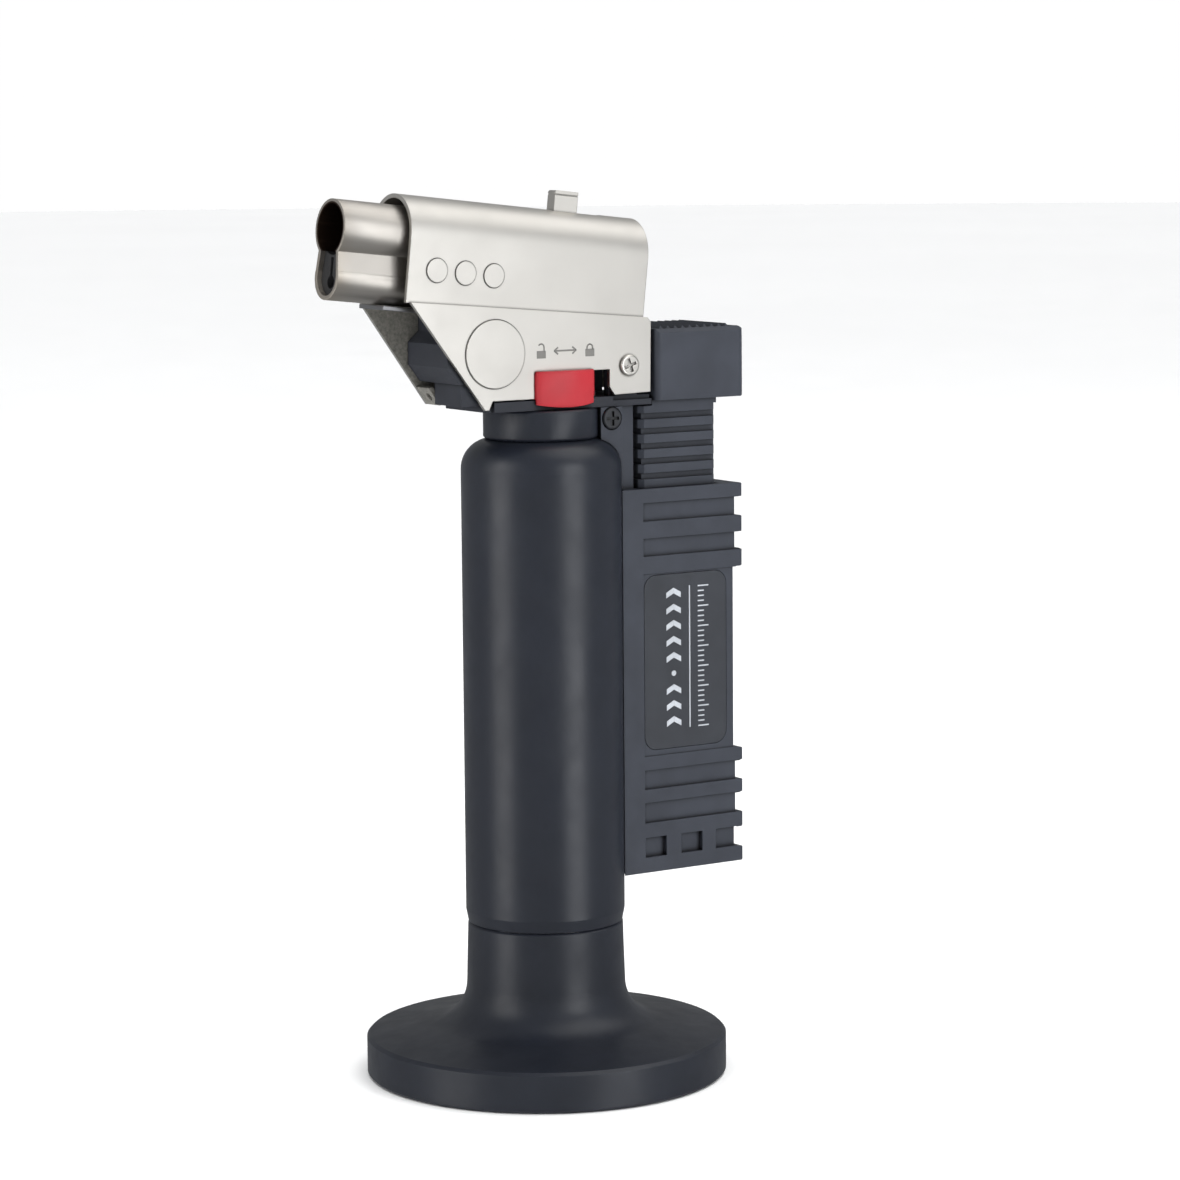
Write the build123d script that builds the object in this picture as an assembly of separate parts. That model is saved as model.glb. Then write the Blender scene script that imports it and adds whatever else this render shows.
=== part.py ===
from build123d import *
import os
from math import cos, radians, sin, tan

# Butane torch. Millimetres, +Z up, nozzle towards -X. The origin is on the tank's axis, in the
# plane that the stand rests on.

# ---- stand ----
FOOT_R = 35.0
FOOT_RIM_TOP = 7.75
FOOT_CONE_ANGLE = 10.0
FLARE_R = 8.0
COLUMN_R_LOW = 15.4
COLUMN_R_TOP = 15.05
SEAM_Z = 29.7
SOCKET_R = 13.5
SOCKET_FLOOR = 12.0
REFILL_HOLE_R = 6.0
SOCKET_PLATE = 2.6
RIM_WIDTH = 3.6
RIM_EDGE = 0.5
SEAM_BEVEL = 0.4

# ---- tank ----
TANK_R = 15.42
TANK_WALL = 0.8
TANK_BOTTOM = 29.9
SHOULDER_R = 5.9
NECK_Z = 123.5
SPIGOT_R = 13.42
SPIGOT_BOTTOM = 12.05
COLLAR_R = 11.05
COLLAR_TOP = 129.3
NECK_HOLE_R = 6.0
SEAM_NARROWING = 0.42
PLUG_TOP = 36.5
PLUG_BORE_R = 11.8
SEAL_Z = 33.2
SEAL_R = 0.52
SHOULDER_GAP = 0.12
SCREW_HOLE_R = 0.85

# ---- refill valve ----
FILL_PORT_R = 2.3
FILL_PORT_BOTTOM = 12.6
FILL_PORT_TOP = 15.6
FILL_BODY_R = 3.95
FILL_FLANGE_R = 5.2
FILL_FLANGE_TOP = 17.0
FILL_CHAMBER_R = 2.8
FILL_THROAT_R = 1.35
FILL_SEAT_Z = 18.1
FILL_SPRING_TOP = 23.6
SEAL_THICKNESS = 0.65
SEAT_GAP = 0.05

# ---- gas valve ----
VALVE_BOTTOM = 117.0
VALVE_SEAT_Z = 119.25
VALVE_SEAL = 0.75
VALVE_SPRING_TOP = 126.0
VALVE_TOP = 134.3
VALVE_BODY_R = 5.9
VALVE_FLANGE_R = 8.3
VALVE_FLANGE_H = 2.1
VALVE_NECK_R = 5.0
VALVE_TOP_R = 4.2
VALVE_CHAMBER_R = 3.0
GASKET_H = 0.6
STEM_R = 1.1
RUNNING_GAP = 0.05
OUTLET_Z = 132.7
GAS_PASSAGE_R = 0.4

# ---- gas line and burner ----
HOSE_R = 1.25
HOSE_BORE_R = 0.8
HOSE_X = -11.0
INJECTOR_S = -16.8
INJECTOR_FRONT = -13.0
JET_END = -9.6
NIPPLE_TOP_H = -4.2
NIPPLE_END_H = -8.2
MIXER_R = 4.5
MIXER_BORE_R = 3.7
MIXER_END = 36.0
AIR_HOLE_S = -10.6
HOLDER_END = 38.5
INSULATOR_REAR = 27.0
WELL_BOTTOM = 37.0
PIN_POINT = 42.5
PIN_HALF = 0.5
SUPPORT_DROP = 13.7
SUPPORT_SHEET = 0.8
SUPPORT_S = (18.7, 35.6)
SUPPORT_SLOTS = (31.5, 34.0)

# ---- head ----
BARREL_Z = 159.4
BARREL_TILT = 6.28
CASING_R = 7.6
SHEET = 0.8
CASING_DROP = 12.4
CASING_REAR = -20.0
CASING_FRONT = 32.6
DIMPLES = (26.6, 20.4, 14.2)
TAB_WIDTH = 2.6
TAB_FOLD_H = 10.6
TAB_SLOT = (-12.9, -1.4)
CHEEK_Y = 8.4
CHEEK_DISC = (-15.2, 140.4)
# The front edge of each side plate, from the top down to its chin: it is longer on the far side.
NEAR_FRONT = ((-33.2, 150.7), (-17.4, 129.9), (-16.6, 129.9), (-15.8, 131.6))
FAR_CHIN = (-20.6, 130.4)
FAR_FRONT = ((-33.9, 150.76), (-34.6, 149.9), FAR_CHIN, (-17.7, 130.1), (-16.9, 131.6))
NOZZLE_R = 5.5
NOZZLE_MOUTH = 45.5
LOWER_LOBE_R = 4.35
LOWER_LOBE_DROP = 8.85
WAIST_HALF = 3.67
WAIST_DROP = 4.1
PLATE_BOTTOM = 129.4
PLATE_TOP = 131.3
COVER_SCREW = (14.7, 137.1)
BRACKET_SCREW = (10.8, 127.1)
CHASSIS_SCREWS = ((-7.2, -4.4), (-7.2, 4.4), (8.2, -4.4), (8.2, 4.4))

# ---- lever ----
PIVOT = (5.0, 136.5)
LEVER_HALF = 1.5
FRONT_ARM = 5.0
FRONT_ANGLE = 9.8
REAR_ARM = 17.9
REAR_ANGLE = 6.9
PIN_R = 1.0
PIN_LENGTH = 6.6
STEM_COLLAR_Z = 136.65

# ---- trigger ----
CAP_X = (20.6, 40.6)
CAP_Z = (130.1, 143.8)
CAP_HALF = 9.5
CAP_CHAMFER = 0.8
CAP_ROUND = 0.9
CAP_REAR_LEAN = 0.4
CAP_GROOVES = 10
CAP_GROOVE_PITCH = 1.7
PLUG_X = (25.5, 33.5)
PLUG_HALF = 5.0
PLUG_Z = 137.0
RIB_STEM_X = (18.0, 35.8)
RIB_STEM_HALF = 7.3
RIB_STEM_BOTTOM = 97.0
STEM_GROOVES = 7
STEM_GROOVE = 1.2
STEM_GROOVE_DEPTH = 0.65
STEM_REAR_DEPTH = 0.2
STEM_CHAMFER = 0.9
STEM_GROOVE_PITCH = 2.9
STEM_GROOVE_TOP = 127.0
PUSH_Z = 124.05
PIEZO_BOTTOM = 76.0
PIEZO_TOP = 106.0
PIEZO_X = (21.9, 31.9)
PIEZO_HALF = 5.0
PLUNGER_X = 26.9
PLUNGER_R = 2.8

# ---- grip ----
GRIP_HALF = 8.8
GRIP_BOTTOM = 38.0
GRIP_TOP = 113.1
GRIP_FRONT = 12.5
GRIP_REAR = 39.4
RIB_REAR = 41.1
RIBS = ((38.0, 40.9), (44.8, 47.9), (51.5, 54.4), (57.9, 60.7), (96.7, 100.2), (103.4, 106.7), (110.3, 113.1))
SIDE_GROOVES = ((106.8, 110.4), (100.0, 103.5), (54.4, 58.2), (47.8, 51.8))
SQUARE_POCKETS = ((17.7, 22.6), (26.1, 31.1), (34.3, 39.4))
SQUARE_Z = (41.0, 44.9)
GROOVE_DEPTH = 0.6
POCKET_DEPTH = 1.1
PANEL_X = 17.6
PANEL_Z = (60.9, 96.6)
LABEL_CENTRE = (27.4, 79.15)
LABEL_SIZE = (19.2, 34.1)
LABEL_CORNER_R = 2.7
LABEL_DEPTH = 0.58
LABEL_LINE_X = (28.2, 28.5)
LABEL_LINE_Z = (65.8, 93.7)
WELL_Z = 90.5
GRIP_SCREWS = ((33.0, 56.2), (24.4, 43.0))
LEAD_X = 16.6
LEAD_Y = -3.5
LEAD_Z = 80.0
LEAD_R = 0.75
LEAD_ROOM = 1.1

# ---- lock ----
SLIDER_X = (-6.45, 6.35)
SLIDER_Z = (129.9, 136.8)
SLIDER_Y = 10.5
SLIDER_BOW_R = 18.0
SLIDER_SAG_R = 34.0
SLIDER_CORNER = 0.9
SLIDER_EDGE = 0.55
NOTCH_X = (-6.6, 10.4)
NOTCH_TOP = 136.5

tilt = radians(BARREL_TILT)
# In the barrel's frame x runs to the right side, y up from the axis, and z forward along it.
BARREL = Plane(origin=(0, 0, BARREL_Z), x_dir=(0, -1, 0), z_dir=(-cos(tilt), 0, sin(tilt)))


# ---- shapes used everywhere ----
def box(x, y, z):
    """A box between two limits on each axis."""
    sizes = [b - a for a, b in (x, y, z)]
    middle = [(a + b) / 2 for a, b in (x, y, z)]
    return Pos(*middle) * Box(*sizes)


def rod_z(radius, z0, z1, x=0.0, y=0.0):
    return Pos(x, y, (z0 + z1) / 2) * Cylinder(radius, z1 - z0)


def ring_z(outer, inner, z0, z1, x=0.0, y=0.0):
    return rod_z(outer, z0, z1, x, y) - rod_z(inner, z0, z1, x, y)


def rod_y(radius, y0, y1, x, z):
    return Pos(x, (y0 + y1) / 2, z) * Rot(90, 0, 0) * Cylinder(radius, y1 - y0)


def turned(*points):
    """A body turned about the tank's axis from an outline of (radius, height) points."""
    return revolve(Plane.XZ * Polygon(*points), Axis.Z)


def side_slab(points, y0, y1):
    """An outline of (x, z) points seen from the side, as thick as y0 to y1."""
    plane = Plane(origin=(0, y1, 0), x_dir=(1, 0, 0), z_dir=(0, -1, 0))
    return extrude(plane * Polygon(*points), amount=y1 - y0)


def along_barrel(sketch, s0, s1):
    return extrude(BARREL.offset(s0) * sketch, amount=s1 - s0)


def barrel_rod(radius, s0, s1, drop=0.0):
    return along_barrel(Pos(0, -drop) * Circle(radius), s0, s1)


def barrel_tube(outer, inner, s0, s1, drop=0.0):
    return barrel_rod(outer, s0, s1, drop) - barrel_rod(inner, s0, s1, drop)


def barrel_point(s, h, y=0.0):
    return (-s * cos(tilt) + h * sin(tilt), y, BARREL_Z + s * sin(tilt) + h * cos(tilt))


def both_sides(part):
    """The part and its mirror image on the other side of the torch."""
    return part + mirror(part, about=Plane.XZ)


def gas_inlet():
    """A plane on the injector's axis, facing down the nipple that the hose is pushed on."""
    down = (-sin(tilt), 0, -cos(tilt))
    return Plane(origin=barrel_point(INJECTOR_S, 0), x_dir=(0, 1, 0), z_dir=down)


def phillips_screw(head_r, head_h, shank_r, shank_length):
    """A pan head screw whose head stands on the XY plane and whose shank goes down."""
    head = Pos(0, 0, head_h / 2) * Cylinder(head_r, head_h)
    head = fillet(head.edges().group_by(Axis.Z)[-1], head_h * 0.45)
    slot = Pos(0, 0, head_h) * Box(head_r * 1.3, head_r * 0.28, head_h)
    cross = slot + Rot(0, 0, 90) * slot
    shank = Pos(0, 0, -shank_length / 2) * Cylinder(shank_r, shank_length)
    return head + shank - cross


# ---- stand ----
def base_foot():
    slope = radians(FOOT_CONE_ANGLE)
    rim_inner = FOOT_R - 0.6
    flare_x = COLUMN_R_LOW + FLARE_R - FLARE_R * sin(slope)
    flare_z = FOOT_RIM_TOP + (rim_inner - flare_x) * tan(slope)
    centre_z = flare_z + FLARE_R * cos(slope)
    middle = radians(45 + FOOT_CONE_ANGLE / 2)
    centre_x = COLUMN_R_LOW + FLARE_R
    flare = ThreePointArc(
        (flare_x, flare_z),
        (centre_x - FLARE_R * sin(middle), centre_z - FLARE_R * cos(middle)),
        (COLUMN_R_LOW, centre_z),
    )
    under = Polyline(
        (COLUMN_R_LOW, centre_z),
        (COLUMN_R_TOP, SEAM_Z - SEAM_BEVEL),
        (COLUMN_R_TOP - SEAM_BEVEL, SEAM_Z),
        (SOCKET_R, SEAM_Z),
        (SOCKET_R, SOCKET_FLOOR),
        (REFILL_HOLE_R, SOCKET_FLOOR),
        (REFILL_HOLE_R, SOCKET_FLOOR - SOCKET_PLATE),
        (SOCKET_R, SOCKET_FLOOR - SOCKET_PLATE),
        (SOCKET_R + 2.5, FOOT_RIM_TOP - 0.4),
        (FOOT_R - RIM_WIDTH, FOOT_RIM_TOP - 2.9),
        (FOOT_R - RIM_WIDTH, 0),
        (FOOT_R - RIM_EDGE, 0),
        (FOOT_R, RIM_EDGE),
        (FOOT_R, FOOT_RIM_TOP - 0.6),
        (rim_inner, FOOT_RIM_TOP),
        (flare_x, flare_z),
    )
    return revolve(Plane.XZ * make_face([flare, under]), Axis.Z)


# ---- tank ----
def tank_outline(grow=0.0):
    """The tank's outside, as a solid that is larger all round by the given amount."""
    radius = TANK_R + grow
    shoulder = SHOULDER_R + grow
    top = NECK_Z + grow
    corner = radians(45)
    arc = ThreePointArc(
        (radius, top - shoulder),
        (radius - shoulder + shoulder * cos(corner), top - shoulder + shoulder * sin(corner)),
        (radius - shoulder, top),
    )
    rest = Polyline(
        (radius - shoulder, top),
        (0, top),
        (0, TANK_BOTTOM - grow),
        (radius - SEAM_NARROWING, TANK_BOTTOM - grow),
        (radius, TANK_BOTTOM + 2.2),
        (radius, top - shoulder),
    )
    return revolve(Plane.XZ * make_face([arc, rest]), Axis.Z)


def tank_shell():
    mouth = rod_z(TANK_R - TANK_WALL, TANK_BOTTOM - 5, TANK_BOTTOM + 5)
    neck_hole = rod_z(NECK_HOLE_R, NECK_Z - 3, NECK_Z + 1)
    return tank_outline() - tank_outline(-TANK_WALL) - mouth - neck_hole


def tank_bottom_cap():
    plug_r = TANK_R - TANK_WALL - 0.04
    valve_hole = FILL_BODY_R + 0.05
    edge = 0.6
    shell = turned(
        (valve_hole, SPIGOT_BOTTOM),
        (SPIGOT_R - edge, SPIGOT_BOTTOM),
        (SPIGOT_R, SPIGOT_BOTTOM + edge),
        (SPIGOT_R, TANK_BOTTOM + 0.1),
        (plug_r, TANK_BOTTOM + 0.1),
        (plug_r, PLUG_TOP),
        (PLUG_BORE_R, PLUG_TOP),
        (PLUG_BORE_R, FILL_PORT_TOP),
        (valve_hole, FILL_PORT_TOP),
    )
    return shell - ring_z(plug_r + 1, 13.5, SEAL_Z - 0.9, SEAL_Z + 0.9)


def tank_bottom_seal():
    return Pos(0, 0, SEAL_Z) * Torus(TANK_R - TANK_WALL - 0.05 - SEAL_R, SEAL_R)


def chassis_screw_holes(z0, z1):
    return Part() + [rod_z(SCREW_HOLE_R, z0, z1, x, y) for x, y in CHASSIS_SCREWS]


def tank_collar():
    edge = 0.4
    bore = VALVE_NECK_R + 0.1
    recess = VALVE_FLANGE_R + 0.2
    recess_top = NECK_Z + GASKET_H + VALVE_FLANGE_H + 0.1
    ring = turned(
        (bore, COLLAR_TOP),
        (COLLAR_R - edge, COLLAR_TOP),
        (COLLAR_R, COLLAR_TOP - edge),
        (COLLAR_R, NECK_Z + edge),
        (COLLAR_R - edge, NECK_Z),
        (recess, NECK_Z),
        (recess, recess_top),
        (bore, recess_top),
    )
    return ring - chassis_screw_holes(recess_top, COLLAR_TOP + 1)


# ---- refill valve ----
def fill_valve_body():
    flange_bottom = FILL_PORT_TOP + 0.02
    outlet_r = 1.0
    return turned(
        (FILL_PORT_R, FILL_PORT_BOTTOM),
        (FILL_BODY_R, FILL_PORT_BOTTOM),
        (FILL_BODY_R, flange_bottom),
        (FILL_FLANGE_R, flange_bottom),
        (FILL_FLANGE_R, FILL_FLANGE_TOP),
        (FILL_BODY_R, FILL_FLANGE_TOP),
        (FILL_BODY_R, FILL_SPRING_TOP + 1.0),
        (outlet_r, FILL_SPRING_TOP + 1.0),
        (outlet_r, FILL_SPRING_TOP),
        (FILL_CHAMBER_R, FILL_SPRING_TOP),
        (FILL_CHAMBER_R, FILL_SEAT_Z - SEAL_THICKNESS),
        (FILL_THROAT_R, FILL_SEAT_Z - SEAL_THICKNESS),
        (FILL_THROAT_R, FILL_PORT_TOP),
        (FILL_PORT_R, FILL_PORT_TOP),
    )


def fill_valve_seal():
    return ring_z(FILL_CHAMBER_R - 0.1, FILL_THROAT_R - 0.1, FILL_SEAT_Z - SEAL_THICKNESS, FILL_SEAT_Z)


def fill_valve_stem():
    head_bottom = FILL_SEAT_Z + SEAT_GAP
    head = rod_z(FILL_CHAMBER_R - 0.5, head_bottom, head_bottom + 1.0)
    return head + rod_z(0.9, FILL_PORT_TOP + SEAT_GAP, head_bottom + 0.2)


def fill_valve_spring():
    return ring_z(2.1, 1.5, FILL_SEAT_Z + SEAT_GAP + 1.05, FILL_SPRING_TOP)


# ---- gas valve ----
def gas_valve_body():
    flange_bottom = NECK_Z + GASKET_H
    flange_top = flange_bottom + VALVE_FLANGE_H
    guide_r = STEM_R + RUNNING_GAP
    inlet_r = 1.0
    body = turned(
        (inlet_r, VALVE_BOTTOM),
        (VALVE_BODY_R, VALVE_BOTTOM),
        (VALVE_BODY_R, flange_bottom),
        (VALVE_FLANGE_R, flange_bottom),
        (VALVE_FLANGE_R, flange_top),
        (VALVE_NECK_R, flange_top),
        (VALVE_NECK_R, PLATE_TOP),
        (VALVE_TOP_R, PLATE_TOP),
        (VALVE_TOP_R, VALVE_TOP),
        (guide_r, VALVE_TOP),
        (guide_r, VALVE_SPRING_TOP),
        (VALVE_CHAMBER_R, VALVE_SPRING_TOP),
        (VALVE_CHAMBER_R, VALVE_SEAT_Z - VALVE_SEAL),
        (inlet_r, VALVE_SEAT_Z - VALVE_SEAL),
    )
    nipple = Pos(-5.0, 0, OUTLET_Z) * Rot(0, 90, 0) * Cylinder(HOSE_BORE_R - 0.02, 2.8)
    gallery = rod_z(0.5, VALVE_SPRING_TOP - 0.5, OUTLET_Z, -2.3)
    outlet = Pos(-5.1, 0, OUTLET_Z) * Rot(0, 90, 0) * Cylinder(GAS_PASSAGE_R, 5.4)
    return body + nipple - gallery - outlet


def gas_valve_seal():
    return ring_z(2.6, STEM_R - 0.05, VALVE_SEAT_Z - VALVE_SEAL, VALVE_SEAT_Z)


def gas_valve_gasket():
    return ring_z(VALVE_FLANGE_R - 0.2, NECK_HOLE_R + 0.15, NECK_Z, NECK_Z + GASKET_H)


def gas_filter():
    return rod_z(3.4, VALVE_BOTTOM - 13.0, VALVE_BOTTOM)


def valve_stem():
    disc = rod_z(2.6, VALVE_SEAT_Z + SEAT_GAP, VALVE_SEAT_Z + 1.5)
    collar = rod_z(2.5, STEM_COLLAR_Z, STEM_COLLAR_Z + 1.3)
    return disc + collar + rod_z(STEM_R, VALVE_SEAT_Z + 0.5, STEM_COLLAR_Z + 1.9)


def valve_spring():
    return ring_z(2.2, 1.45, VALVE_SEAT_Z + 1.55, VALVE_SPRING_TOP)


# ---- gas line and burner ----
def tube_along(path, outer, inner):
    start = Plane(origin=path @ 0, z_dir=path % 0)
    tube = sweep(start * Circle(outer), path=path)
    if inner:
        tube -= sweep(start * Circle(inner), path=path)
    return tube


def gas_hose():
    top = barrel_point(INJECTOR_S, NIPPLE_TOP_H - 1.2)
    corner = barrel_point(INJECTOR_S, NIPPLE_TOP_H - 11.6)
    points = [(-4.9, 0, OUTLET_Z), (HOSE_X, 0, OUTLET_Z), (HOSE_X, 0, 145.0), corner, top]
    path = FilletPolyline(*points, radius=(4.5, 5.0, 4.8))
    return tube_along(path, HOSE_R, HOSE_BORE_R)


def injector():
    block = barrel_rod(MIXER_R - 0.1, CASING_REAR + 1.3, INJECTOR_FRONT)
    plug = barrel_rod(MIXER_BORE_R - 0.05, INJECTOR_FRONT, INJECTOR_FRONT + 1.4)
    jet = barrel_rod(1.2, INJECTOR_FRONT + 1.4, JET_END)
    nipple = extrude(gas_inlet() * Circle(HOSE_BORE_R - 0.02), amount=-NIPPLE_END_H)
    shoulder = extrude(gas_inlet() * Circle(1.7), amount=-NIPPLE_TOP_H + 0.9)
    rise = extrude(gas_inlet() * Circle(GAS_PASSAGE_R), amount=-NIPPLE_END_H)
    orifice = barrel_rod(0.3, INJECTOR_S, JET_END)
    return block + plug + jet + shoulder + nipple - rise - orifice


def mixing_tube():
    tube = barrel_tube(MIXER_R, MIXER_BORE_R, INJECTOR_FRONT, MIXER_END)
    for angle in range(45, 360, 90):
        hole = Rot(0, 0, angle) * Pos(4.0, 0, 0) * Rot(0, 90, 0) * Cylinder(1.3, 4.0)
        tube -= BARREL.offset(AIR_HOLE_S).location * hole
    return tube


def flame_holder():
    plug_rear = MIXER_END - 3.0
    plug = barrel_rod(MIXER_BORE_R - 0.08, plug_rear, MIXER_END)
    disc = barrel_rod(MIXER_R + 0.1, MIXER_END, HOLDER_END)
    holes = Circle(0.9) + PolarLocations(2.5, 6) * Circle(0.7)
    return disc + plug - along_barrel(holes, plug_rear, HOLDER_END)


def lobes(shrink):
    """The nozzle's two-lobe section, smaller all round by the given amount."""
    waist = WAIST_HALF - shrink
    low = LOWER_LOBE_R - shrink
    upper = Circle(NOZZLE_R - shrink)
    lower = Pos(0, -LOWER_LOBE_DROP) * Circle(low)
    left = ((-waist, -WAIST_DROP), (-low, -LOWER_LOBE_DROP))
    right = ((low, -LOWER_LOBE_DROP), (waist, -WAIST_DROP))
    return upper + lower + Polygon(*left, *right)


def nozzle_shroud():
    return along_barrel(lobes(0) - lobes(SHEET), 24.0, NOZZLE_MOUTH)


def nozzle_support():
    strip = along_barrel(Pos(0, -SUPPORT_DROP) * Rectangle(9.0, SUPPORT_SHEET), *SUPPORT_S)
    for side in (-2.6, 2.6):
        strip -= along_barrel(Pos(side, -SUPPORT_DROP) * Rectangle(1.2, 2.0), *SUPPORT_SLOTS)
    return strip


def electrode_insulator():
    """The lower lobe's insert. A slit and a round well in its face hold the spark pin."""
    body = along_barrel(lobes(SHEET + 0.05), INSULATOR_REAR, NOZZLE_MOUTH - 1.0)
    body -= barrel_rod(4.78, INSULATOR_REAR, NOZZLE_MOUTH)
    slit = Pos(0, -7.4) * Rectangle(0.9, 4.4)
    well = Pos(0, -LOWER_LOBE_DROP - 0.9) * Circle(1.25)
    body -= along_barrel(slit + well, WELL_BOTTOM, NOZZLE_MOUTH)
    return body - barrel_rod(PIN_HALF + 0.05, INSULATOR_REAR, WELL_BOTTOM + 1, LOWER_LOBE_DROP)


def electrode_pin():
    return barrel_rod(PIN_HALF, INSULATOR_REAR - 1, PIN_POINT, LOWER_LOBE_DROP)


def ignition_lead():
    points = [
        (PIEZO_X[0], LEAD_Y, LEAD_Z),
        (LEAD_X, LEAD_Y, LEAD_Z),
        (LEAD_X, LEAD_Y, 147.6),
        (-4.0, LEAD_Y, 149.0),
        barrel_point(13.0, -LOWER_LOBE_DROP),
        barrel_point(INSULATOR_REAR - 1, -LOWER_LOBE_DROP),
    ]
    path = FilletPolyline(*points, radius=(4.4, 7.0, 18.0, 18.0))
    return tube_along(path, LEAD_R, 0)


def air_shutter():
    """A sleeve round the mixing tube, whose tab stands through the slot in the casing."""
    sleeve = barrel_tube(5.6, MIXER_R + RUNNING_GAP, -8.4, 0.4)
    tab = along_barrel(Pos(0, 8.2) * Rectangle(TAB_WIDTH, 6.4), -7.0, -1.8)
    tab = fillet(tab.edges().group_by(Axis.Z)[-1], 0.5)
    hollow = along_barrel(Pos(0, 8.4) * Rectangle(1.2, 5.2), -8.0, -2.5)
    fold = Pos(TAB_WIDTH / 2, TAB_FOLD_H) * Rectangle(0.3, 0.25)
    folds = both_sides(along_barrel(fold, -8.0, -1.0))
    return sleeve + (tab - hollow - folds)


# ---- head covers ----
def casing_section(radius, drop):
    return Circle(radius) + Pos(0, -drop / 2) * Rectangle(2 * radius, drop)


def raised_discs(radius, height, places, y_face):
    """Shallow round bosses pressed out of a side face at (x, z) places."""
    discs = [rod_y(radius, y_face - height, y_face + 0.3, x, z) for x, z in places]
    return Part() + discs


def barrel_casing():
    inner = CASING_R - SHEET
    shell = along_barrel(casing_section(CASING_R, CASING_DROP), CASING_REAR, CASING_FRONT)
    shell -= along_barrel(casing_section(inner, CASING_DROP + 1), CASING_REAR + SHEET, CASING_FRONT + 1)
    slot = along_barrel(Pos(0, 9.0) * Rectangle(TAB_WIDTH + 0.6, 6.0), *TAB_SLOT)
    dimples = [(barrel_point(s, -6.0)[0], barrel_point(s, -6.0)[2]) for s in DIMPLES]
    return shell - slot + both_sides(raised_discs(2.2, 0.25, dimples, -CASING_R))


def cheek(front, notched):
    """One side plate of the head, on the near side, from the outline of its front edge."""
    foot = ((12.0, 131.6), (19.7, 131.8), (19.9, 145.2), (19.1, 146.1))
    plate = side_slab((*front, *foot), -CHEEK_Y, -CHEEK_Y + SHEET)
    disc = raised_discs(6.4, 0.3, [CHEEK_DISC], -CHEEK_Y)
    x, z = COVER_SCREW
    plate = plate + disc - rod_y(1.15, -CHEEK_Y - 1, 0, x, z)
    if notched:
        plate -= box(NOTCH_X, (-CHEEK_Y - 1, 0), (120, NOTCH_TOP))
        rear = NOTCH_X[1]
        corner = ((rear - 0.1, 130.0), (rear + 1.1, 130.0), (rear + 1.1, 131.65), (rear - 0.1, 133.3))
        plate -= side_slab(corner, -CHEEK_Y - 1, 0)
    return plate


def side_plate_left():
    return cheek(NEAR_FRONT, True)


def side_plate_right():
    """The far side plate, with a holed tab folded in from its front edge."""
    plate = mirror(cheek(FAR_FRONT, False), about=Plane.XZ)
    x, z = FAR_CHIN
    outline = ((x, z), (x + 0.9, z + 0.1), (x - 1.4, z + 3.6), (x - 2.35, z + 3.4))
    tab = side_slab(outline, 3.0, CHEEK_Y - 0.1)
    hole = Pos(x - 0.8, 5.0, z + 1.8) * Rot(0, 57, 0) * Cylinder(0.8, 4)
    return plate + tab - hole


def cover_screws():
    x, z = COVER_SCREW
    turn = 20
    screw = Pos(x, -CHEEK_Y, z) * Rot(90, 0, turn) * phillips_screw(2.05, 0.75, 0.95, 3.4)
    return both_sides(screw)


# ---- head chassis ----
def head_chassis():
    plate = box((-16.6, 20.0), (-7.5, 7.5), (PLATE_BOTTOM, PLATE_TOP))
    lips = both_sides(box((-15.4, 11.2), (-8.3, -7.4), (PLATE_BOTTOM, PLATE_TOP)))
    lips += both_sides(box((11.0, 20.0), (-8.3, -7.4), (PLATE_BOTTOM, PLATE_TOP - 0.8)))
    nose_bottom = ((-24.9, 142.4), (-24.9, 138.1), (-22.4, 134.9), (-14.0, 135.1))
    nose_top = ((-14.0, 146.72), (-22.6, 147.67), (-22.6, 144.4))
    nose = side_slab((*nose_bottom, *nose_top), -7.3, 7.3)
    leg = box((-21.8, -14.8), (-6.9, 6.9), (130.7, 135.3)) - box((-22, -19.4), (2.7, 7), (130, 134.9))
    hollow = box((-23.4, -13.0), (-5.6, 5.6), (136.9, 143.2))
    saddle = box((-20.0, -15.2), (-6.6, 6.6), (144.0, 158.0))
    posts = both_sides(box((12.2, 17.2), (-7.5, -4.7), (PLATE_TOP - 0.2, 144.8)))
    posts += both_sides(box((12.2, 17.2), (-6.7, -4.7), (144.0, 153.8)))
    posts += both_sides(box((11.4, 12.3), (-6.2, -4.7), (PLATE_TOP - 0.2, 144.8)))
    bridge = box((12.2, 17.9), (-6.4, 6.4), (150.6, 155.0))
    lugs = both_sides(box((2.7, 7.1), (-3.2, -2.0), (PLATE_TOP - 0.2, 138.9)))
    ears = both_sides(box((8.0, 12.5), (-6.8, -3.9), (124.8, PLATE_BOTTOM + 0.2)))
    body = plate + lips + nose + leg + saddle + posts + bridge + lugs + ears - hollow
    return body - chassis_rooms() - chassis_holes()


def chassis_rooms():
    """The room that the chassis leaves for the valve, the gas line, the lead and the barrel."""
    below = PLATE_BOTTOM - 8
    rooms = rod_z(VALVE_NECK_R + 0.1, below, PLATE_TOP + 0.1)
    rooms += rod_z(VALVE_TOP_R + 0.1, below, VALVE_TOP + 0.1)
    rooms += rod_z(COLLAR_R + 0.1, below, COLLAR_TOP + 0.1)
    rooms += barrel_rod(MIXER_R + 0.05, CASING_REAR + 1, CASING_FRONT - 2.6)
    rooms += barrel_rod(6.0, INJECTOR_FRONT - 0.9, 5.0)
    rooms += barrel_rod(LEAD_R + 0.3, 8.0, CASING_FRONT - 2.6, LOWER_LOBE_DROP)
    rooms += box((LEAD_X - 1.0, 21.0), (LEAD_Y - LEAD_ROOM, LEAD_Y + LEAD_ROOM), (128, 133))
    return rooms + extrude(gas_inlet() * Circle(1.9), amount=14)


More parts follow.
